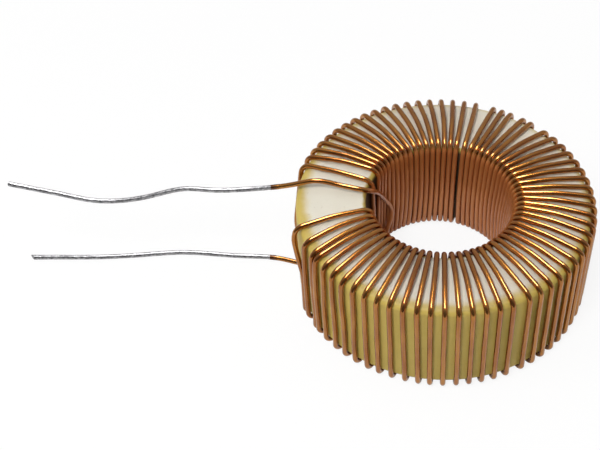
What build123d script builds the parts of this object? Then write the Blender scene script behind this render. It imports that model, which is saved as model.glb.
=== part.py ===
"""Toroidal inductor: one layer of enamelled copper wire on a pressed powdered-iron ring.

Millimetres, +Z up. The origin is on the ring's axis, at the height of the lowest wire.
Both leads leave towards -X. Angles are counted from +X, anticlockwise seen from above.
"""
from build123d import *
from math import cos, degrees, pi, radians, sin, sqrt, tan
import os

os.makedirs("parts", exist_ok=True)

# Core: a ring with rounded edges
core_outer_d = 33.0
core_bore_d = 17.2
core_height = 11.9
outer_edge_r = 0.6
bore_edge_r = 0.5
edge_steps = 3

# Wire: enamelled on the core, bare and tinned over most of each lead
wire_d = 0.60
tinned_d = 0.56
lay_gap = 0.03
wire_sides = 8
# How far a run over the top face stands up at its middle
top_bow = 0.25

# Lead ends: straight and round over this length
pin_length = 4.0
lower_cut_angle = 40.0
upper_round_ratio = 0.3

# The winding, read stretch by stretch along the ring: the angle of the first and the last
# bore leg, of the first and the last outer edge, and how many turns lie between them
stretch_angles = (
    (195.5, 195.5, 201.5, 201.5, 1),
    (204.6, 204.6, 210.0, 210.0, 1),
    (210.2, 215.7, 216.1, 218.8, 2),
    (221.2, 300.5, 223.7, 298.4, 16),
    (305.8, 354.1, 305.1, 349.9, 10),
    (359.1, 408.1, 354.9, 405.8, 11),
    (412.6, 417.1, 413.4, 417.2, 2),
    (421.7, 430.7, 423.1, 430.8, 3),
    (435.3, 435.3, 438.5, 438.5, 1),
    (441.6, 474.2, 443.4, 477.8, 8),
    (479.2, 519.4, 482.6, 526.6, 10),
)
# How far an outer leg leans on its way down: the usual leg, and those of the two end turns
leg_lean_angle = 0.8
first_leg_lean_angle = 5.7
last_leg_lean_angle = 9.2
# Both of those lie loosely and bend on their way: angle from their top, how far off the others'
# place they stand, and height as a share of the wound height
first_leg_bends = ((2.0, 0.32, 0.86), (6.2, 0.02, 0.56))
last_leg_bends = ((9.8, 0.12, 0.50),)
# How far the bore legs of the two end turns lean on their way up
first_bore_lean_angle = 3.0
last_bore_lean_angle = 8.2

# The last rise through the bore, which crosses in front of its neighbours: angle, how far in
# from the first layer in wire widths, and height as a share of the wound height
crossing_angles = (
    (162.6, 1.05, 0.06),
    (148.2, 1.10, 0.20),
    (145.9, 1.10, 0.36),
    (143.2, 1.10, 0.50),
    (157.8, 1.10, 0.78),
    (168.0, 1.10, 0.87),
)
finish_bore_angle = 164.0
rim_angle = 178.0

# Upper lead above the ring's face: shares of the face's width, then for each of these places
# how far sideways it lies and how high over the top turns
arch_ratios = (0.03, 0.38, 0.71, 0.97)
arch = ((0.20, 0.15), (0.30, 0.60), (0.30, 1.07), (0.05, 0.62))
# Both leads beyond the ring: distance from the core's wall, sideways, height over their turns
upper_lead = (
    (2.9, -0.20, 0.08), (6.6, -0.55, -0.26), (9.6, -0.90, -0.24), (12.6, -1.20, 0.03),
    (16.6, -1.95, -0.71), (20.1, -2.50, -1.25), (23.5, -2.80, -1.18), (27.1, -2.92, -0.35),
)
upper_tip = (32.9, -3.00, 0.84)
lower_lead = (
    (0.6, -0.14, 0.00), (3.0, 0.32, 0.00), (7.2, 0.27, 0.00), (10.3, 0.25, 0.00),
    (14.2, 0.22, 0.00), (19.5, -0.65, 0.00), (25.4, -1.58, 0.00),
)
lower_tip = (33.4, -2.34, 0.00)
# Where the tin starts, as a distance from the core's wall
upper_tin_from = 2.8
lower_tin_from = 4.0
upper_steps = 30
lower_steps = 22

# Sizes that follow from those above. The wire's section is an octagon as large as its circle
reach_ratio = sqrt(2 * pi / (wire_sides * sin(2 * pi / wire_sides)))
reach = wire_d / 2 * reach_ratio
tin_reach = tinned_d / 2 * reach_ratio
wire_width = 2 * reach
stand_off = reach + lay_gap
core_bottom = wire_width + lay_gap
core_top = core_bottom + core_height
bore_leg_r = core_bore_d / 2 - stand_off
outer_leg_r = core_outer_d / 2 + stand_off
bottom_z = core_bottom - stand_off
top_z = core_top + stand_off
least_pitch = degrees((wire_width + lay_gap / 3) / bore_leg_r)
# A bend round an edge is drawn as two corners of 45 degrees, this far from where the straight
# runs would meet
cut_ratio = 1 - tan(radians(45 / 2))
bore_cut = (bore_edge_r + stand_off) * cut_ratio
outer_cut = (outer_edge_r + stand_off) * cut_ratio


def at(angle, radius, height):
    """A point from its angle round the ring, its distance from the axis and its height."""
    return Vector(radius * cos(radians(angle)), radius * sin(radians(angle)), height)


def spread(first, last, count, index):
    """The index-th of count values spread evenly from first to last."""
    if count == 1:
        return first
    return first + (last - first) * index / (count - 1)


def turn_angles():
    """Bore angle and edge angle of every turn; a stretch holds only as many as fit its bore."""
    turns = []
    last = stretch_angles[0][0] - least_pitch
    for bore_from, bore_to, edge_from, edge_to, wanted in stretch_angles:
        start = max(bore_from, last + least_pitch)
        room = int((bore_to - start) / least_pitch + 1e-6) + 1
        count = int(min(wanted, room)) if bore_to > start - 1e-6 else 0
        for index in range(count):
            bore = spread(start, bore_to, count, index)
            turns.append((bore, spread(edge_from, edge_to, count, index)))
            last = bore
    return turns


def bore_rise(low_angle, high_angle):
    """A leg up the bore, from the run below the core to the run above it."""
    return [
        at(low_angle, bore_leg_r + bore_cut, bottom_z),
        at(low_angle, bore_leg_r, bottom_z + bore_cut),
        at(high_angle, bore_leg_r, top_z - bore_cut),
        at(high_angle, bore_leg_r + bore_cut, top_z),
    ]


def crest(bore_angle, edge_angle):
    """The middle of a run over the top face, where it stands highest."""
    middle = (bore_leg_r + outer_leg_r) / 2
    return at((bore_angle + edge_angle) / 2, middle, top_z + top_bow)


def outer_fall(high_angle, low_angle):
    """A leg down the outer wall, from the run above the core to the run below it."""
    return [
        at(high_angle, outer_leg_r - outer_cut, top_z),
        at(high_angle, outer_leg_r, top_z - outer_cut),
        at(low_angle, outer_leg_r, bottom_z + outer_cut),
        at(low_angle, outer_leg_r - outer_cut, bottom_z),
    ]


def height_at(share):
    """A height from its share of the way between the wire's lowest and highest runs."""
    return bottom_z + share * (top_z - bottom_z)


def loose_fall(high_angle, lean, bends):
    """The outer leg of an end turn, which lies loosely and bends on its way down."""
    fall = outer_fall(high_angle, high_angle + lean)
    places = [at(high_angle + turn, outer_leg_r + out, height_at(share)) for turn, out, share in bends]
    return fall[:2] + places + fall[2:]


def coil_points():
    """Every corner of the wire round the core, from the first bore leg to the last outer leg."""
    turns = turn_angles()
    first_bore, first_edge = turns[0]
    last_bore, last_edge = turns[-1]
    points = bore_rise(first_bore, first_bore + first_bore_lean_angle)
    points.append(crest(first_bore + first_bore_lean_angle, first_edge))
    points += loose_fall(first_edge, first_leg_lean_angle, first_leg_bends)
    for bore, edge in turns[1:-1]:
        points += bore_rise(bore, bore)
        points.append(crest(bore, edge))
        points += outer_fall(edge, edge + leg_lean_angle)
    points += bore_rise(last_bore, last_bore + last_bore_lean_angle)
    points.append(crest(last_bore + last_bore_lean_angle, last_edge))
    return points + loose_fall(last_edge, last_leg_lean_angle, last_leg_bends)


def crossing_points():
    """The wire's last rise, which leans across its neighbours on the way to the rim."""
    rise = bore_rise(finish_bore_angle, rim_angle)
    points = rise[:2]
    for angle, layers, share in crossing_angles:
        radius = bore_leg_r - layers * wire_width
        points.append(at(angle, radius, height_at(share)))
    return points


def face_points():
    """The upper lead's way over the ring's face."""
    width = outer_leg_r - bore_leg_r
    points = []
    for share, (sideways, up) in zip(arch_ratios, arch):
        points.append(Vector(-bore_leg_r - share * width, sideways, top_z + up))
    return points


def beyond(point, base_z):
    """A point beside the ring, from its distance from the core's wall."""
    out, sideways, up = point
    return Vector(-core_outer_d / 2 - out, sideways, base_z + up)


def smooth(points, steps):
    """Evenly spaced points on one smooth curve through the given ones."""
    curve = Spline(*points)
    return [curve @ (step / steps) for step in range(steps + 1)]


def ring_round(centre, direction, size):
    """The wire's corners round a centre, square to its direction."""
    plane = Plane(origin=centre, z_dir=direction)
    corners = []
    for side in range(wire_sides):
        turn = 2 * pi * (side + 0.5) / wire_sides
        corners.append(plane.from_local_coords(Vector(size * cos(turn), size * sin(turn), 0)))
    return corners


def slide_to(corners, direction, centre, normal):
    """The corners moved along the wire to the plane of its next bend."""
    return [c + direction * ((centre - c).dot(normal) / direction.dot(normal)) for c in corners]


def scaled(corners, centre, ratio):
    """The corners drawn closer to their centre."""
    return [centre + (corner - centre) * ratio for corner in corners]


def side_faces(near, far):
    """The flat faces between two sets of corners."""
    faces = []
    for side in range(wire_sides):
        after = (side + 1) % wire_sides
        outline = [near[side], near[after], far[after], far[side]]
        faces.append(Face(Wire.make_polygon(outline)))
    return faces


def mitred_wire(points, tin_until, tin_after):
    """One solid wire along the points; it is thinner up to one corner and after another."""
    ways = [(b - a).normalized() for a, b in zip(points, points[1:])]
    corners = ring_round(points[0], ways[0], tin_reach)
    faces = [Face(Wire.make_polygon(corners))]
    for index, way in enumerate(ways):
        centre = points[index + 1]
        last = index == len(ways) - 1
        normal = way if last else (way + ways[index + 1]).normalized()
        reached = slide_to(corners, way, centre, normal)
        faces += side_faces(corners, reached)
        corners = reached
        if index + 1 in (tin_until, tin_after):
            ratio = reach / tin_reach if index + 1 == tin_until else tin_reach / reach
            corners = scaled(reached, centre, ratio)
            faces += side_faces(reached, corners)
    faces.append(Face(Wire.make_polygon(corners)))
    return Solid(Shell(faces))


def pin(start, tip):
    """The straight round end of a lead."""
    way = (tip - start).normalized()
    return Solid.make_cylinder(tinned_d / 2, (tip - start).length, Plane(start, z_dir=way))


def rounded_pin(start, tip):
    """A lead end whose tip is rounded."""
    shank = pin(start, tip)
    return shank.fillet(tinned_d * upper_round_ratio, shank.edges().sort_by_distance(tip)[:1])


def cut_pin(start, tip):
    """A lead end whose tip is cut off on a slope."""
    way = (tip - start).normalized()
    slope = Plane(tip, z_dir=way.rotate(Axis.Y, lower_cut_angle))
    side = 4 * tinned_d
    waste = slope * Box(side, side, side, align=(Align.CENTER, Align.CENTER, Align.MIN))
    return pin(start, tip).cut(waste)


def step_back(tip, before):
    """Where the straight round end starts, measured back from its tip."""
    return tip + (before - tip).normalized() * pin_length


def rounding(centre_x, centre_z, radius, first_angle):
    """The points of one rounded edge of the ring's section, each step a narrow cone."""
    points = []
    for step in range(edge_steps + 1):
        angle = radians(first_angle + 90 * step / edge_steps)
        points.append((centre_x + radius * cos(angle), centre_z + radius * sin(angle)))
    return points


def make_core():
    """The pressed ring: a rectangle with rounded corners, turned about the axis."""
    outer_x = core_outer_d / 2 - outer_edge_r
    bore_x = core_bore_d / 2 + bore_edge_r
    outline = rounding(outer_x, core_bottom + outer_edge_r, outer_edge_r, -90)
    outline += rounding(outer_x, core_top - outer_edge_r, outer_edge_r, 0)
    outline += rounding(bore_x, core_top - bore_edge_r, bore_edge_r, 90)
    outline += rounding(bore_x, core_bottom + bore_edge_r, bore_edge_r, 180)
    section = make_face(Plane.XZ * Polyline(*outline, close=True))
    return revolve(section, Axis.Z)


def make_winding():
    """The whole wire, from the lower lead's tip round the core to the upper lead's tip."""
    low_tip = beyond(lower_tip, bottom_z)
    low_path = [beyond(point, bottom_z) for point in lower_lead]
    low_start = step_back(low_tip, low_path[-1])
    lower = smooth([low_start] + low_path[::-1], lower_steps)
    high_tip = beyond(upper_tip, top_z)
    high_path = [beyond(point, top_z) for point in upper_lead]
    high_start = step_back(high_tip, high_path[-1])
    upper = smooth(face_points() + high_path + [high_start], upper_steps)
    points = lower + coil_points() + crossing_points() + upper
    wall = core_outer_d / 2
    tin_until = sum(1 for p in lower if -p.X - wall > lower_tin_from)
    tin_after = len(points) - sum(1 for p in upper if -p.X - wall > upper_tin_from)
    wire = mitred_wire(points, tin_until, tin_after)
    return wire, cut_pin(low_start, low_tip), rounded_pin(high_start, high_tip)


if __name__ == "__main__":
    export_step(make_core(), "parts/core.step")
    wire, low_pin, high_pin = make_winding()
    export_step(wire.fuse(low_pin, high_pin), "parts/winding.step")
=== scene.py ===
"""Looks of the toroidal inductor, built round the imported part.

The tables are in millimetres and degrees, in the part's own frame; meshes are made in metres.
"""

import random
from math import cos, pi, radians, sin, tan

import bpy
import numpy as np
from mathutils import Matrix, Vector


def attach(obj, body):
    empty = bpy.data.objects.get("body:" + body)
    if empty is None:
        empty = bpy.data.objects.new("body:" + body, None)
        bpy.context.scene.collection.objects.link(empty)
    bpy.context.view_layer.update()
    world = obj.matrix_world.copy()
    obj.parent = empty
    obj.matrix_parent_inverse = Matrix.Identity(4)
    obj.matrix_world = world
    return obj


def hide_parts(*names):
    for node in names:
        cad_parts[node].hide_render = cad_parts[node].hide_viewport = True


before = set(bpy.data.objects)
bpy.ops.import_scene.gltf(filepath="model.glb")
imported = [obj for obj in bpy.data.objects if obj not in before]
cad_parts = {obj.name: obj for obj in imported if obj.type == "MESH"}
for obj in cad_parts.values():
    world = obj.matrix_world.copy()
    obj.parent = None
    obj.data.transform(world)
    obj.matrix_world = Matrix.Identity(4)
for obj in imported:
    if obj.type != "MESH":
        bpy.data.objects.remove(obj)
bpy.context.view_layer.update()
MM = 0.001

# The ring
core_outer_d = 33.0
core_bore_d = 17.2
core_height = 11.9
outer_edge_r = 0.6
bore_edge_r = 0.5

# The wire
wire_d = 0.60
tinned_d = 0.56
lay_gap = 0.03
# How far the part's own eight-sided wire reaches from its centre line
reach = 0.3162
stand_off = reach + lay_gap
core_bottom = 2 * reach + lay_gap
core_top = core_bottom + core_height
bore_leg_r = core_bore_d / 2 - stand_off
outer_leg_r = core_outer_d / 2 + stand_off
bottom_z = core_bottom - stand_off
top_z = core_top + stand_off
# How far a run over the top face stands up at its middle and at its outer end
top_bow = 0.30
edge_rise = 0.05
# How much wider the bend over the outer edge is than the one at a leg's foot
edge_bend_more = 0.08
# The bend over the bore's edge: how far its corner stands in and up, and its radius
bore_in = 0.08
bore_up = 0.10
bore_top_bend = 1.2
# How far a bore leg bows off the wall, the angle up to which it does so in full, and how many
# degrees further on the bow is gone
bore_bow = 0.50
bow_ends_angle = 490
bow_fade_angle = 15
bow_shares = (0.2, 0.4, 0.6, 0.8)
# Bend radii along the soft stretches
bore_leg_bend = 14
top_run_bend = 16
outer_leg_bend = 12
loose_leg_bend = 3

# The winding, stretch by stretch: the angle of the first and the last bore leg, of the first
# and the last outer edge, and its number of turns
stretch_angles = (
    (195.5, 195.5, 201.5, 201.5, 1),
    (204.6, 204.6, 210.0, 210.0, 1),
    (210.2, 215.7, 216.1, 218.8, 2),
    (221.2, 300.5, 223.7, 298.4, 16),
    (305.8, 354.1, 305.1, 349.9, 10),
    (359.1, 408.1, 354.9, 405.8, 11),
    (412.6, 417.1, 413.4, 417.2, 2),
    (421.7, 430.7, 423.1, 430.8, 3),
    (435.3, 435.3, 438.5, 438.5, 1),
    (441.6, 474.2, 443.4, 477.8, 8),
    (479.2, 519.4, 482.6, 526.6, 10),
)
# The outer legs lean on their way down; the two end turns lie loosely and bend
leg_lean_angle = 0.8
first_leg_lean_angle = 5.7
last_leg_lean_angle = 9.2
first_leg_bends = ((0.6, 0.50, 0.90), (3.6, 0.36, 0.74), (6.2, 0.08, 0.54))
last_leg_bends = ((9.8, 0.12, 0.50),)
first_bore_lean_angle = 3.0
last_bore_lean_angle = 8.2

# How unevenly the turns lie: every turn a little, those on the left and in front-left more
winding_seed = 7
top_bow_spread = (-0.08, 0.10)
crest_angle_spread = (-0.3, 0.3)
leg_shares = (0.76, 0.50, 0.24)
waver_angle = 0.08
left_angle, left_sharpness = 220, 5.5
left_waver_angle = 0.50
left_lean_spread = (-0.4, 0.6)
left_stand_off = 0.10
front_left_angle, front_left_sharpness = 258, 5.0
front_left_lean_spread = (0.5, 1.4)

# How high over the lowest run the last rise starts, and its way up through the bore: angle,
# wire widths in from the first layer, share of height
rise_start_up = 1.0
crossing_angles = (
    (162.6, 1.05, 0.06),
    (149.5, 1.12, 0.15),
    (144.5, 1.14, 0.27),
    (141.8, 1.12, 0.40),
    (144.5, 1.12, 0.50),
    (155.0, 1.10, 0.69),
    (167.0, 1.05, 0.87),
)
finish_bore_angle = 164.0

# The upper lead over the ring's face: share of its width, then sideways and up
arch_ratios = (0.03, 0.38, 0.71, 0.97)
arch = ((0.20, 0.15), (0.30, 0.60), (0.30, 1.07), (0.05, 0.62))
# Both leads beyond the ring, as in the part: distance from its wall, sideways and up
upper_lead = (
    (2.9, -0.20, 0.08), (6.6, -0.55, -0.26), (9.6, -0.90, -0.24), (12.6, -1.20, 0.03),
    (16.6, -1.95, -0.71), (20.1, -2.50, -1.25), (23.5, -2.80, -1.18), (27.1, -2.92, -0.35),
)
upper_tip = (32.9, -3.00, 0.84)
lower_lead = (
    (0.6, -0.14, 0.00), (3.0, 0.32, 0.00), (7.2, 0.27, 0.00), (10.3, 0.25, 0.00),
    (14.2, 0.22, 0.00), (19.5, -0.65, 0.00), (25.4, -1.58, 0.00),
)
lower_tip = (33.4, -2.34, 0.00)
pin_length = 4.0
lower_cut_angle = 40.0
# Where the tin starts, beyond the wall, and how the wire swells at its cut end and by the tin
upper_tin_from = 2.8
lower_tin_from = 4.0
cut_swell, cut_swell_length = 0.03, 1.6
enamel_swell, enamel_swell_at = 0.014, 0.5

# How finely the pieces are drawn
wire_sides = 16
bend_steps = 6
lead_step = 0.22
straight_steps = 12
tip_rings = 3
tip_length_ratio = 0.55
ring_steps = 256
edge_steps = 8

# Distances from the axis at which the print, the painted shade on the bore wall, and on the wire the
# painted light and duller finish of the bore start and are complete
print_outer = (16.25, 14.95)
print_inner = (8.75, 9.10)
bore_shade_radii = (8.8, 8.62)
bore_zone = (8.5, 8.0)
# The circle of the print's outer edge is this far off the ring's axis
print_shift = (0.2, 0.45)
# Depths under the ring's top at which the print and the painted shade on the bore wall start and are
# complete
print_depth = (0.4, 0.15)
bore_shade_depth = (0.25, 0.9)
ragged_width = 0.9
# Distances from the tin, along the wire, at which the burnt enamel starts and is complete
burnt_ends = (1.3, 0.3)

# The fitted camera: angles in radians, its distance in wound-ring radii
photo_width_px = 600
wound_ring_r = 17.1
camera_elevation = 0.792996
camera_distance = 7.787849
camera_focal_px = 1175.502
camera_yaw = 0.118821
camera_pitch = -0.028177
camera_roll = -0.061774
camera_aim_height = 12.3615

# Metres, as the lamps are
floor_half_side = 1.5
lamp_aim = (0, 0, 0.006)


# The camera

def photo_camera():
    """The photograph's camera, as fitted to the ring and its turns."""
    back = Vector((0, -cos(camera_elevation), sin(camera_elevation)))
    forward = -back
    right = Vector((1, 0, 0))
    up = right.cross(forward)
    turn = Matrix.Rotation(camera_yaw, 3, up)
    forward, right = turn @ forward, turn @ right
    turn = Matrix.Rotation(camera_pitch, 3, right)
    forward, up = turn @ forward, turn @ up
    turn = Matrix.Rotation(camera_roll, 3, forward)
    right, up = turn @ right, turn @ up
    data = bpy.data.cameras.new("photo_camera")
    data.sensor_width = 36
    data.lens = camera_focal_px / photo_width_px * data.sensor_width
    data.clip_start = 0.01
    camera = bpy.data.objects.new("photo_camera", data)
    bpy.context.scene.collection.objects.link(camera)
    place = Matrix((right, up, -forward)).transposed().to_4x4()
    unit = wound_ring_r * MM
    place.translation = back * camera_distance * unit + Vector((0, 0, camera_aim_height * MM))
    camera.matrix_world = place
    bpy.context.scene.camera = camera


# Paths

def at(angle, radius, height):
    """A point from its angle round the ring, its distance from the axis and its height."""
    return Vector((radius * cos(radians(angle)), radius * sin(radians(angle)), height))


def spread(first, last, count, index):
    """The index-th of count values spread evenly from first to last."""
    if count == 1:
        return first
    return first + (last - first) * index / (count - 1)


def turn_angles():
    """Bore angle and edge angle of every turn."""
    turns = []
    for bore_from, bore_to, edge_from, edge_to, count in stretch_angles:
        for index in range(count):
            bore = spread(bore_from, bore_to, count, index)
            turns.append((bore, spread(edge_from, edge_to, count, index)))
    return turns


def rounded(corners):
    """A line through corners of the form (point, bend radius), with each bend drawn round."""
    line = [corners[0][0]]
    for (before, _), (corner, radius), (after, _) in zip(corners, corners[1:], corners[2:]):
        way_in = (corner - before).normalized()
        way_out = (after - corner).normalized()
        turn = way_in.angle(way_out)
        if turn < 0.002:
            line.append(corner)
            continue
        cut = min(radius * tan(turn / 2), 0.48 * (corner - before).length,
                  0.48 * (after - corner).length)
        size = cut / tan(turn / 2)
        start = corner - way_in * cut
        inward = (way_out - way_in * cos(turn)).normalized()
        steps = max(2, round(bend_steps * turn / (pi / 2)) + 1)
        for step in range(steps + 1):
            part = turn * step / steps
            line.append(start + way_in * size * sin(part) + inward * size * (1 - cos(part)))
    line.append(corners[-1][0])
    return line


def smooth(points, spacing):
    """Points about one spacing apart on one cubic curve through the given ones."""
    knots = np.array([tuple(p) for p in points])
    span = np.linalg.norm(np.diff(knots, axis=0), axis=1)
    count = len(knots)
    system = np.zeros((count, count))
    target = np.zeros((count, 3))
    system[0, 0] = system[-1, -1] = 1
    for k in range(1, count - 1):
        system[k, k - 1:k + 2] = span[k - 1], 2 * (span[k - 1] + span[k]), span[k]
        target[k] = 6 * ((knots[k + 1] - knots[k]) / span[k] - (knots[k] - knots[k - 1]) / span[k - 1])
    bend = np.linalg.solve(system, target)
    line = []
    for k in range(count - 1):
        steps = max(2, round(span[k] / spacing))
        for step in range(steps):
            b = step / steps
            a = 1 - b
            p = a * knots[k] + b * knots[k + 1]
            p = p + ((a ** 3 - a) * bend[k] + (b ** 3 - b) * bend[k + 1]) * span[k] ** 2 / 6
            line.append(Vector(p))
    line.append(Vector(knots[-1]))
    return line


def height_at(share):
    """A height from its share of the way between the wire's lowest and highest runs."""
    return bottom_z + share * (top_z - bottom_z)


def nearness(angle, middle, sharpness):
    """1 at the middle angle, falling smoothly to 0 on both sides, sooner the sharper it is."""
    return 0.5 + 0.5 * cos(radians(max(-180, min(180, sharpness * (angle - middle)))))


def leg_bends(edge, lean, rng):
    """The bends of a usual outer leg, and how much more it leans than it was asked to."""
    on_left = nearness(edge, left_angle, left_sharpness)
    in_front = nearness(edge, front_left_angle, front_left_sharpness)
    slack = waver_angle + left_waver_angle * on_left
    more = in_front * rng.uniform(*front_left_lean_spread) + on_left * rng.uniform(*left_lean_spread)
    bends = []
    for share in leg_shares:
        turn = edge + (lean + more) * (1 - share) + rng.uniform(-slack, slack)
        out = outer_leg_r + on_left * rng.uniform(0, left_stand_off)
        bends.append((at(turn, out, height_at(share)), outer_leg_bend))
    return bends, more


def bore_leg(bore, bore_top):
    """A bore leg's bends, from its foot to the bend over the bore's edge."""
    corners = [(at(bore, bore_leg_r, bottom_z), bore_edge_r + stand_off)]
    bow = bore_bow * max(0.0, min(1.0, (bow_ends_angle - bore) / bow_fade_angle + 1))
    for share in bow_shares:
        off = bow * 4 * share * (1 - share)
        turn = bore + (bore_top - bore) * share
        corners.append((at(turn, bore_leg_r - off, height_at(share)), bore_leg_bend))
    corners.append((at(bore_top, bore_leg_r - bore_in, top_z + bore_up), bore_top_bend))
    return corners


def coil_corners():
    """The wire's bends round the ring, from the first bore leg to the last outer leg."""
    rng = random.Random(winding_seed)
    turns = turn_angles()
    low_bend = outer_edge_r + stand_off
    high_bend = low_bend + edge_bend_more
    middle = (bore_leg_r + outer_leg_r) / 2
    corners = []
    for index, (bore, edge) in enumerate(turns):
        first, last = index == 0, index == len(turns) - 1
        bore_top = bore + (first_bore_lean_angle if first else last_bore_lean_angle if last else 0)
        lean = first_leg_lean_angle if first else last_leg_lean_angle if last else leg_lean_angle
        corners += bore_leg(bore, bore_top)
        bow = top_bow + rng.uniform(*top_bow_spread)
        crest_angle = (bore_top + edge) / 2 + rng.uniform(*crest_angle_spread)
        corners.append((at(crest_angle, middle, top_z + bow), top_run_bend))
        corners.append((at(edge, outer_leg_r, top_z + edge_rise), high_bend))
        if first or last:
            for turn, out, share in first_leg_bends if first else last_leg_bends:
                place = at(edge + turn, outer_leg_r + out, height_at(share))
                corners.append((place, loose_leg_bend))
        else:
            bends, more = leg_bends(edge, lean, rng)
            corners += bends
            lean += more
        corners.append((at(edge + lean, outer_leg_r, bottom_z), low_bend))
    corners.append((at(finish_bore_angle, bore_leg_r, bottom_z), bore_edge_r + stand_off))
    return corners


def beyond(point, base_z):
    """A point beside the ring, from its distance from the ring's wall."""
    out, sideways, up = point
    return Vector((-core_outer_d / 2 - out, sideways, base_z + up))


def step_back(tip, before):
    """Where the straight end of a lead starts."""
    return tip + (before - tip).normalized() * pin_length


def wire_line():
    """The whole wire's centre line, from the lower lead's tip to the upper lead's tip."""
    low_tip = beyond(lower_tip, bottom_z)
    low_path = [beyond(point, bottom_z) for point in lower_lead][::-1]
    low_start = step_back(low_tip, low_path[0])
    corners = coil_corners()
    lower = smooth([low_start] + low_path, lead_step)
    slope_half = tinned_d / 2 * tan(radians(lower_cut_angle))
    first_place = low_tip + (low_start - low_tip).normalized() * slope_half
    straight = [first_place.lerp(low_start, k / straight_steps) for k in range(straight_steps)]
    rise_start = at(finish_bore_angle, bore_leg_r, bottom_z + rise_start_up)
    coil = rounded([(lower[-1], 0)] + corners + [(rise_start, 0)])

    width = outer_leg_r - bore_leg_r
    rise = [rise_start]
    for angle, layers, share in crossing_angles:
        radius = bore_leg_r - layers * 2 * reach
        rise.append(at(angle, radius, height_at(share)))
    for share, (sideways, up) in zip(arch_ratios, arch):
        rise.append(Vector((-bore_leg_r - share * width, sideways, top_z + up)))
    rise += [beyond(point, top_z) for point in upper_lead]
    high_tip = beyond(upper_tip, top_z)
    rise.append(step_back(high_tip, rise[-1]))
    upper = smooth(rise, lead_step)
    end = [upper[-1].lerp(high_tip, k / straight_steps) for k in range(1, straight_steps + 1)]
    return straight + lower[:-1] + coil[:-1] + upper + end


# Meshes

def tube(name, line, radius_at, cut_angle):
    """A tube along a line, cut on a slope at its start and rounded at its end.

    Each point keeps where it lies along the wire and round it, for the materials."""
    ways = [(b - a).normalized() for a, b in zip(line, line[1:])]
    side = ways[0].cross(Vector((0, 1, 0))).normalized()
    verts, lays, faces = [], [], []
    run = 0.0
    for index, centre in enumerate(line):
        before = ways[max(index - 1, 0)]
        after = ways[min(index, len(ways) - 1)]
        way = (before + after).normalized()
        if index:
            run += (centre - line[index - 1]).length
        side = (side - way * side.dot(way)).normalized()
        other = way.cross(side)
        radius = radius_at(run)
        for k in range(wire_sides):
            turn = 2 * pi * k / wire_sides
            out = side * cos(turn) + other * sin(turn)
            point = centre + out * radius
            if index == 0:
                point -= way * (out.y * radius * tan(radians(cut_angle)))
            verts.append(point * MM)
            lays.append((run, cos(turn) * radius, sin(turn) * radius))
    rings = len(line)
    for step in range(1, tip_rings + 1):
        angle = step * pi / (2 * (tip_rings + 1))
        shrink, ahead = cos(angle), sin(angle) * tip_length_ratio
        for k in range(wire_sides):
            turn = 2 * pi * k / wire_sides
            out = side * cos(turn) + other * sin(turn)
            verts.append((centre + out * radius * shrink + way * radius * ahead) * MM)
            lays.append((run + radius * ahead, cos(turn) * radius, sin(turn) * radius))
        rings += 1
    for ring in range(rings - 1):
        for k in range(wire_sides):
            a, b = ring * wire_sides + k, ring * wire_sides + (k + 1) % wire_sides
            faces.append((a, b, b + wire_sides, a + wire_sides))
    faces.append(tuple(range(wire_sides))[::-1])
    faces.append(tuple(range((rings - 1) * wire_sides, rings * wire_sides)))
    mesh = bpy.data.meshes.new(name)
    mesh.from_pydata(verts, [], faces)
    lay = mesh.attributes.new("lay", "FLOAT_VECTOR", "POINT")
    lay.data.foreach_set("vector", [c for p in lays for c in p])
    mesh.shade_smooth()
    mesh.update()
    piece = bpy.data.objects.new(name, mesh)
    bpy.context.scene.collection.objects.link(piece)
    return piece


def lathe(name, outline):
    """A ring turned about the axis from its closed outline of (radius, height) points."""
    verts, faces = [], []
    count = len(outline)
    for step in range(ring_steps):
        angle = 360 * step / ring_steps
        verts += [at(angle, radius, height) * MM for radius, height in outline]
    for step in range(ring_steps):
        here, there = step * count, (step + 1) % ring_steps * count
        for k in range(count):
            after = (k + 1) % count
            faces.append((here + k, there + k, there + after, here + after))
    mesh = bpy.data.meshes.new(name)
    mesh.from_pydata(verts, [], faces)
    mesh.shade_smooth()
    mesh.update()
    piece = bpy.data.objects.new(name, mesh)
    bpy.context.scene.collection.objects.link(piece)
    return piece


def ring_outline():
    """The ring's section with its rounded edges, anticlockwise from the lower outer edge."""
    outer_x, bore_x = core_outer_d / 2 - outer_edge_r, core_bore_d / 2 + bore_edge_r
    low, high = core_bottom, core_top
    edges = (
        (outer_x, low + outer_edge_r, outer_edge_r, -90),
        (outer_x, high - outer_edge_r, outer_edge_r, 0),
        (bore_x, high - bore_edge_r, bore_edge_r, 90),
        (bore_x, low + bore_edge_r, bore_edge_r, 180),
    )
    outline = []
    for x, z, radius, start in edges:
        for step in range(edge_steps + 1):
            angle = radians(start + 90 * step / edge_steps)
            outline.append((x + radius * cos(angle), z + radius * sin(angle)))
    return outline


# Materials

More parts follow.
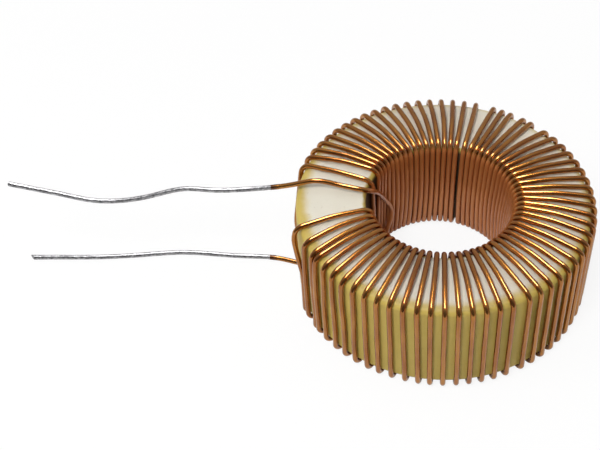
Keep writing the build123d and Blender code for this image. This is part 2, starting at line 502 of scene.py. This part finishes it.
class Nodes:
    """A short way to write one material's nodes."""

    def __init__(self, name):
        self.material = bpy.data.materials.new(name)
        self.material.use_nodes = True
        self.tree = self.material.node_tree
        self.tree.nodes.clear()
        self.out = self.add("ShaderNodeOutputMaterial")

    def add(self, kind, inputs=None, **settings):
        node = self.tree.nodes.new(kind)
        for key, value in settings.items():
            setattr(node, key, value)
        for key, value in (inputs or {}).items():
            if isinstance(value, bpy.types.NodeSocket):
                self.tree.links.new(value, node.inputs[key])
            else:
                node.inputs[key].default_value = value
        return node

    def math(self, operation, a, b=0.0):
        return self.add("ShaderNodeMath", {0: a, 1: b}, operation=operation).outputs[0]

    def band(self, value, low, high):
        """0 at low, 1 at high and smooth between; low may be the larger of the two."""
        node = self.add("ShaderNodeMapRange", {"Value": value, "From Min": low, "From Max": high},
                        interpolation_type="SMOOTHSTEP")
        return node.outputs["Result"]

    def mix(self, factor, a, b):
        node = self.add("ShaderNodeMix", data_type="RGBA")
        for socket, value in (("Factor_Float", factor), ("A_Color", a), ("B_Color", b)):
            target = next(i for i in node.inputs if i.identifier == socket)
            if isinstance(value, bpy.types.NodeSocket):
                self.tree.links.new(value, target)
            else:
                target.default_value = value
        return next(o for o in node.outputs if o.identifier == "Result_Color")

    def noise(self, vector, scale, detail=2.0, roughness=0.5):
        node = self.add("ShaderNodeTexNoise", {"Vector": vector, "Scale": scale, "Detail": detail,
                                               "Roughness": roughness})
        return node.outputs["Fac"]

    def stretched(self, vector, x, y, z):
        node = self.add("ShaderNodeMapping", {"Vector": vector, "Scale": (x, y, z)})
        return node.outputs[0]

    def axis_distance(self, place):
        """How far a place lies from the ring's axis."""
        parts = self.add("ShaderNodeSeparateXYZ", {0: place}).outputs
        return self.math("SQRT", self.math("ADD", self.math("MULTIPLY", parts[0], parts[0]),
                                           self.math("MULTIPLY", parts[1], parts[1])))

    def bump(self, height, strength, distance):
        node = self.add("ShaderNodeBump", {"Height": height, "Strength": strength,
                                           "Distance": distance})
        return node.outputs[0]

    def finish(self, **inputs):
        shader = self.add("ShaderNodeBsdfPrincipled",
                          {key.replace("_", " "): value for key, value in inputs.items()})
        self.tree.links.new(shader.outputs[0], self.out.inputs[0])
        return self.material


def paint(red, green, blue):
    """A colour written as it shows, from 0 to 255, for a shader."""
    linear = []
    for level in (red, green, blue):
        share = level / 255
        linear.append(share / 12.92 if share <= 0.04045 else ((share + 0.055) / 1.055) ** 2.4)
    return (*linear, 1.0)


def coat_material():
    """Olive yellow paint with an off-white top face that fades out before its edges, and painted
    shade: the bore wall painted dark grey-brown where it lies in shadow.
    """
    m = Nodes("core_coat_paint")
    place = m.add("ShaderNodeTexCoord").outputs["Object"]
    parts = m.add("ShaderNodeSeparateXYZ", {0: place}).outputs
    uneven = m.math("SUBTRACT", m.noise(place, 700, 3), 0.5)
    ragged = m.math("MULTIPLY", uneven, ragged_width * MM)
    flat = m.axis_distance(place)
    radius = m.math("ADD", flat, ragged)
    print_x = m.math("SUBTRACT", parts[0], print_shift[0] * MM)
    print_y = m.math("SUBTRACT", parts[1], print_shift[1] * MM)
    printed = m.math("ADD", ragged, m.math("SQRT", m.math(
        "ADD", m.math("MULTIPLY", print_x, print_x), m.math("MULTIPLY", print_y, print_y))))
    white_out = m.band(printed, print_outer[0] * MM, print_outer[1] * MM)
    white_in = m.band(radius, print_inner[0] * MM, print_inner[1] * MM)
    on_top = m.band(parts[2], (core_top - print_depth[0]) * MM, (core_top - print_depth[1]) * MM)
    white = m.math("MULTIPLY", m.math("MULTIPLY", white_out, white_in), on_top)
    cloud = m.noise(place, 260, 4, 0.6)
    grain = m.noise(place, 5200, 2)
    yellow = m.mix(cloud, paint(186, 161, 76), paint(210, 186, 98))
    # Painted shade: below the rim the bore wall is painted dark grey-brown, standing in for the shadow
    # there
    in_bore = m.math("MULTIPLY", m.band(flat, bore_shade_radii[0] * MM, bore_shade_radii[1] * MM),
                     m.band(parts[2], (core_top - bore_shade_depth[0]) * MM,
                            (core_top - bore_shade_depth[1]) * MM))
    yellow = m.mix(in_bore, yellow, m.mix(cloud, paint(84, 68, 50), paint(108, 88, 64)))
    face = m.mix(cloud, paint(215, 209, 192), paint(228, 223, 207))
    colour = m.mix(white, yellow, face)
    speck = m.band(m.noise(place, 2600, 2), 0.66, 0.74)
    colour = m.mix(m.math("MULTIPLY", speck, 0.18), colour, paint(140, 116, 68))
    height = m.math("ADD", m.math("MULTIPLY", cloud, 0.6), m.math("MULTIPLY", grain, 0.4))
    rough = m.math("ADD", 0.45, m.math("MULTIPLY", grain, 0.18))
    return m.finish(Base_Color=colour, Roughness=rough, IOR=1.45,
                    Normal=m.bump(height, 0.3, 0.00007))


def enamel_material(low_end, high_end):
    """Copper under clear orange-brown enamel: burnt dark by the tin, and duller in the bore, where it
    is also painted lighter and pinker as painted light.
    """
    m = Nodes("wire_enamel")
    lay = m.add("ShaderNodeAttribute", attribute_name="lay").outputs["Vector"]
    run = m.add("ShaderNodeSeparateXYZ", {0: lay}).outputs[0]
    place = m.add("ShaderNodeTexCoord").outputs["Object"]
    in_bore = m.band(m.axis_distance(place), bore_zone[0] * MM, bore_zone[1] * MM)
    long_streak = m.noise(m.stretched(lay, 0.25, 2.2, 2.2), 1.0, 3, 0.6)
    fine_streak = m.noise(m.stretched(lay, 0.6, 9.0, 9.0), 1.0, 3, 0.6)
    patch = m.noise(place, 190, 3, 0.55)
    tone = m.math("ADD", m.math("MULTIPLY", long_streak, 0.5), m.math("MULTIPLY", patch, 0.5))
    colour = m.mix(m.band(tone, 0.36, 0.64), paint(164, 97, 34), paint(194, 130, 54))
    burnt = m.math("MAXIMUM", m.band(run, low_end + burnt_ends[0], low_end + burnt_ends[1]),
                   m.band(run, high_end - burnt_ends[0], high_end - burnt_ends[1]))
    burnt = m.math("MULTIPLY", burnt, m.math("ADD", 0.55, m.math("MULTIPLY", fine_streak, 0.6)))
    # Painted light: in the bore the wire is painted lighter and pinker to make up for the dimmer light
    # there
    colour = m.mix(m.math("MULTIPLY", in_bore, 0.6), colour, paint(204, 128, 80))
    colour = m.mix(burnt, colour, paint(74, 42, 26))
    rough = m.math("ADD", 0.15, m.math("MULTIPLY", fine_streak, 0.12))
    rough = m.math("ADD", rough, m.math("MULTIPLY", burnt, 0.25))
    varnish = m.math("SUBTRACT", 0.8, m.math("MULTIPLY", in_bore, 0.4))
    metal = m.math("SUBTRACT", 1.0, m.math("MULTIPLY", in_bore, 0.5))
    return m.finish(Base_Color=colour, Metallic=metal, Roughness=rough, Coat_Weight=varnish,
                    Coat_Roughness=0.05, Coat_IOR=1.5,
                    Normal=m.bump(fine_streak, 0.10, 0.00003))


def tin_material():
    """Tinned wire: dull grey metal with streaks and small lumps."""
    m = Nodes("wire_tin")
    lay = m.add("ShaderNodeAttribute", attribute_name="lay").outputs["Vector"]
    streak = m.noise(m.stretched(lay, 1.1, 4.5, 4.5), 1.0, 4, 0.65)
    lump = m.noise(m.stretched(lay, 3.2, 3.6, 3.6), 1.0, 3, 0.6)
    tone = m.math("ADD", m.math("MULTIPLY", streak, 0.55), m.math("MULTIPLY", lump, 0.45))
    colour = m.mix(m.band(tone, 0.36, 0.64), paint(122, 121, 123), paint(214, 213, 215))
    rough = m.math("ADD", 0.24, m.math("MULTIPLY", streak, 0.3))
    return m.finish(Base_Color=colour, Metallic=1.0, Roughness=rough,
                    Normal=m.bump(tone, 0.6, 0.00008))


def floor_material():
    """A sheet that is white to the camera, duller in reflections, and keeps the shadow."""
    m = Nodes("floor_white")
    path = m.add("ShaderNodeLightPath").outputs
    mirrored = m.math("MAXIMUM", path["Is Glossy Ray"], path["Is Transmission Ray"])
    seen = m.math("MAXIMUM", path["Is Camera Ray"], mirrored)
    matt = m.add("ShaderNodeBsdfDiffuse", {"Color": (0.7, 0.7, 0.7, 1)})
    glow = m.add("ShaderNodeEmission", {"Color": (1, 1, 1, 1), "Strength": 1.0})
    tone = m.mix(mirrored, (1, 1, 1, 1), (0.72, 0.72, 0.72, 1))
    clean = m.add("ShaderNodeBsdfDiffuse", {"Color": tone})
    share = m.math("SUBTRACT", 0.86, m.math("MULTIPLY", mirrored, 0.76))
    pale = m.add("ShaderNodeMixShader", {0: share, 1: clean.outputs[0], 2: glow.outputs[0]})
    both = m.add("ShaderNodeMixShader", {0: seen, 1: matt.outputs[0], 2: pale.outputs[0]})
    m.tree.links.new(both.outputs[0], m.out.inputs[0])
    return m.material


# Light and floor

def area_lamp(name, place, size, watts, for_gloss):
    """A soft lamp aimed at the ring, either for the gloss on the wire or for all the rest."""
    data = bpy.data.lights.new(name, "AREA")
    data.shape = "RECTANGLE"
    data.size, data.size_y = size
    data.energy = watts
    lamp = bpy.data.objects.new(name, data)
    lamp.visible_glossy = for_gloss
    lamp.visible_diffuse = not for_gloss
    bpy.context.scene.collection.objects.link(lamp)
    way = Vector(lamp_aim) - Vector(place)
    lamp.matrix_world = Matrix.Translation(place) @ way.to_track_quat("-Z", "Y").to_matrix().to_4x4()


def room():
    """White to the camera; as a light, even and dim, and dimmer towards the front."""
    world = bpy.data.worlds.new("room")
    world.use_nodes = True
    tree = world.node_tree
    tree.nodes.clear()
    path = tree.nodes.new("ShaderNodeLightPath").outputs
    way = tree.nodes.new("ShaderNodeTexCoord")
    parts = tree.nodes.new("ShaderNodeSeparateXYZ")
    tree.links.new(way.outputs["Generated"], parts.inputs[0])
    front = tree.nodes.new("ShaderNodeMapRange")
    front.interpolation_type = "SMOOTHSTEP"
    for key, value in (("From Min", -0.05), ("From Max", -0.65), ("To Min", 0.42), ("To Max", 0.12)):
        front.inputs[key].default_value = value
    tree.links.new(parts.outputs[1], front.inputs["Value"])
    dim = tree.nodes.new("ShaderNodeBackground")
    tree.links.new(front.outputs[0], dim.inputs["Strength"])
    white = tree.nodes.new("ShaderNodeBackground")
    white.inputs["Strength"].default_value = 1.0
    for node in (dim, white):
        node.inputs["Color"].default_value = (1, 1, 1, 1)
    mix = tree.nodes.new("ShaderNodeMixShader")
    tree.links.new(path["Is Camera Ray"], mix.inputs[0])
    tree.links.new(dim.outputs[0], mix.inputs[1])
    tree.links.new(white.outputs[0], mix.inputs[2])
    out = tree.nodes.new("ShaderNodeOutputWorld")
    tree.links.new(mix.outputs[0], out.inputs[0])
    bpy.context.scene.world = world


def floor_sheet():
    """The flat sheet under the object."""
    half = floor_half_side
    mesh = bpy.data.meshes.new("floor")
    mesh.from_pydata([(-half, -half, 0), (half, -half, 0), (half, half, 0), (-half, half, 0)],
                     [], [(0, 1, 2, 3)])
    floor = bpy.data.objects.new("floor", mesh)
    bpy.context.scene.collection.objects.link(floor)
    mesh.materials.append(floor_material())


def studio():
    """The room, three soft lamps and the floor."""
    bpy.context.scene.view_settings.view_transform = "Standard"
    room()
    area_lamp("lamp_gloss", (-0.03, 0.13, 0.59), (0.18, 0.34), 3.4, True)
    area_lamp("lamp_key", (-0.12, -0.30, 0.52), (0.20, 0.20), 2.6, False)
    area_lamp("lamp_left", (-0.50, -0.20, 0.35), (0.30, 0.30), 0.7, False)
    floor_sheet()


# The pieces

def make_ring():
    """The coated core."""
    ring = lathe("ring", ring_outline())
    ring.data.materials.append(coat_material())
    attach(ring, "root")
    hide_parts("core")


def make_wire():
    """The wire, with enamel between its two tinned ends."""
    line = wire_line()
    wall = core_outer_d / 2
    length = 0.0
    runs = [0.0]
    for a, b in zip(line, line[1:]):
        length += (b - a).length
        runs.append(length)
    low_end = next(r for r, p in zip(runs, line) if -p.x - wall < lower_tin_from)
    high_end = next(r for r, p in zip(runs, line)
                    if r > length / 2 and -p.x - wall > upper_tin_from)

    def radius_at(run):
        if run < low_end or run > high_end:
            return tinned_d / 2 + cut_swell * max(0.0, 1 - run / cut_swell_length)
        near = min(run - low_end, high_end - run)
        swell = max(0.0, 1 - abs(near - enamel_swell_at) / enamel_swell_at)
        return wire_d / 2 + enamel_swell * swell

    wire = tube("wire", line, radius_at, lower_cut_angle)
    wire.data.materials.append(enamel_material(low_end, high_end))
    wire.data.materials.append(tin_material())
    for polygon in wire.data.polygons:
        run = sum(runs[min(v // wire_sides, len(runs) - 1)] for v in polygon.vertices)
        run /= len(polygon.vertices)
        if run < low_end or run > high_end:
            polygon.material_index = 1
    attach(wire, "root")
    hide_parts("winding")


photo_camera()
studio()
make_ring()
make_wire()
